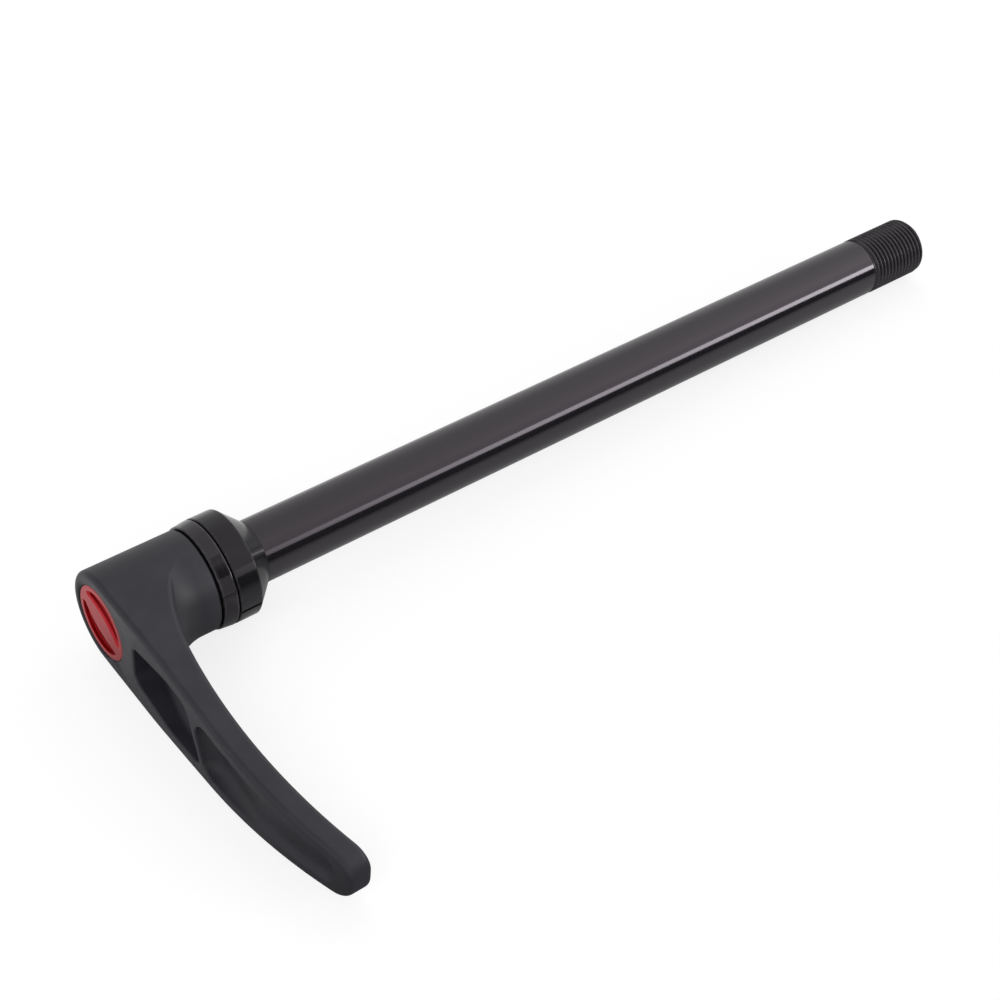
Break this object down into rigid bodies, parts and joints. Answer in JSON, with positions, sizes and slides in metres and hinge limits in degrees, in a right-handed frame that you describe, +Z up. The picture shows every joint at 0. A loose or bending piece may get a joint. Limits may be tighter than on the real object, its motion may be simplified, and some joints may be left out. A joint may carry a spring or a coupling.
{
  "type": "bicycle thru axle",
  "caption": "Hollow bicycle thru axle with a fine-threaded end, a split conical clamping ring and a moulded ratchet lever that lifts against a spring and turns to re-set.",
  "frame": {"origin": "on the axle's axis where the shank starts, at the nose of the conical ring", "axes": "+X along the axle towards its thread, -Y along the lever's arm, which droops 3.5 degrees, +Z up as it lies"},
  "size_m": [0.1946, 0.0767, 0.0203],
  "materials": {
    "black_anodised": "black anodised, satin gloss",
    "ring_anodised": "black anodised, glossy",
    "lever_moulding": "fine matte moulding",
    "insert_steel": "hardened steel",
    "washer_steel": "plain steel",
    "spring_steel": "spring steel wire",
    "red_anodised": "red anodised"
  },
  "bodies": {
    "axle": {"axle": "black_anodised", "cap_screw": "red_anodised", "return_spring": "spring_steel"},
    "washer": {"thrust_washer": "washer_steel"},
    "lever": {"lever": "lever_moulding", "ratchet_insert": "insert_steel"},
    "cone_ring": {"cone_ring": "ring_anodised"}
  },
  "joints": [
    {"name": "lever_lift", "type": "slide", "parent": "axle", "child": "washer", "axis": [-1, 0, 0], "range_m": [0, 0.005], "stiffness_N_per_m": 1080, "springref_m": -0.003, "deforming": ["return_spring"]},
    {"name": "lever_turn", "type": "hinge", "parent": "washer", "child": "lever", "pos_m": [-0.02, 0, 0], "axis": [1, 0, 0], "continuous": true},
    {"name": "cone_turn", "type": "hinge", "parent": "axle", "child": "cone_ring", "pos_m": [-0.005, 0, 0], "axis": [1, 0, 0], "continuous": true}
  ]
}
